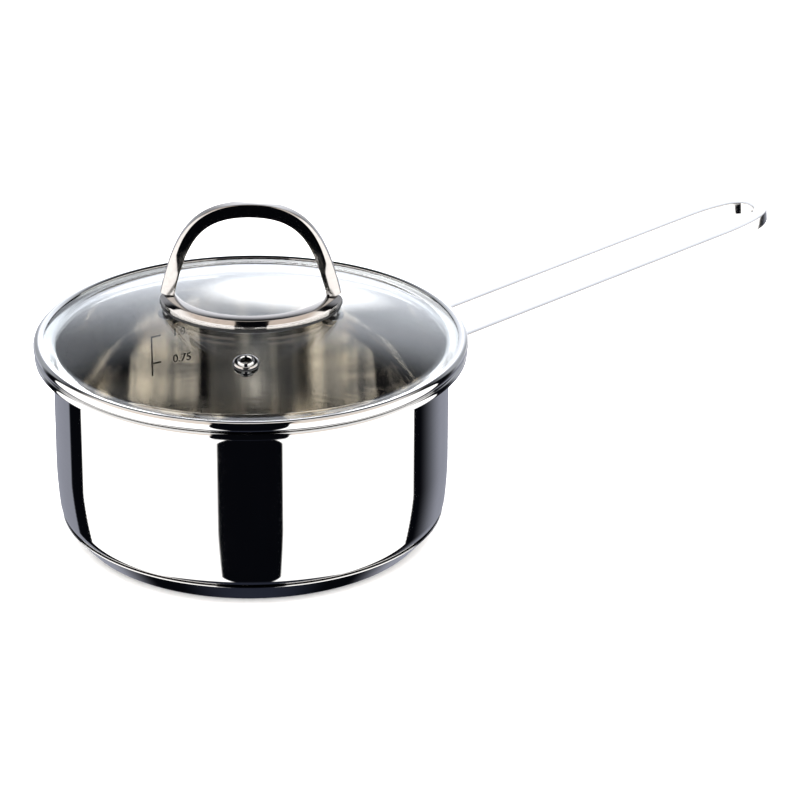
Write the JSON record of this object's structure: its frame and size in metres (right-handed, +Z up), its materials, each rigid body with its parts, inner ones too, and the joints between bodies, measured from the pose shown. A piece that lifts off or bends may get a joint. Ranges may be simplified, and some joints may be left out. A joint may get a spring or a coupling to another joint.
{
  "type": "saucepan with glass lid",
  "caption": "Stainless steel saucepan with a flared rim, a thick flat base, a long open loop handle and a lift-off domed glass lid with an arched knob and a steam vent.",
  "frame": {"origin": "centre of the flat underside of the base, on the pot's axis", "axes": "+Z up along the pot's axis, +X out along the long handle, +Y to the left of the handle seen from the pot"},
  "size_m": [0.3668, 0.1774, 0.1424],
  "materials": {
    "pot_steel": "mirror-polished stainless steel outside, satin inside",
    "base_steel": "polished stainless steel with a lathe-brushed foot",
    "core_aluminium": "bare, hidden inside the base",
    "handle_steel": "polished stainless steel bar with soft edges",
    "lid_glass": "clear tempered glass, smooth",
    "rim_steel": "rolled and polished stainless steel band",
    "knob_steel": "polished stainless steel",
    "fixing_steel": "plain stainless steel",
    "silicone": "matt black silicone"
  },
  "bodies": {
    "pot": {"pot_body": "pot_steel", "base_cap": "base_steel", "core_disc": "core_aluminium", "handle_plate": "handle_steel", "handle_loop": "handle_steel"},
    "lid": {"lid_glass": "lid_glass", "lid_rim_band": "rim_steel", "knob_foot": "knob_steel", "knob_arch": "knob_steel", "knob_gasket": "silicone", "knob_bush_left": "silicone", "knob_bush_right": "silicone", "knob_washer_left": "fixing_steel", "knob_washer_right": "fixing_steel", "knob_screw_left": "fixing_steel", "knob_screw_right": "fixing_steel", "vent_eyelet": "knob_steel", "vent_gasket": "silicone", "vent_washer": "fixing_steel"}
  },
  "joints": [
    {"name": "lid_lift", "type": "slide", "parent": "pot", "child": "lid", "axis": [0, 0, 1], "range_m": [0, 0.1]}
  ]
}
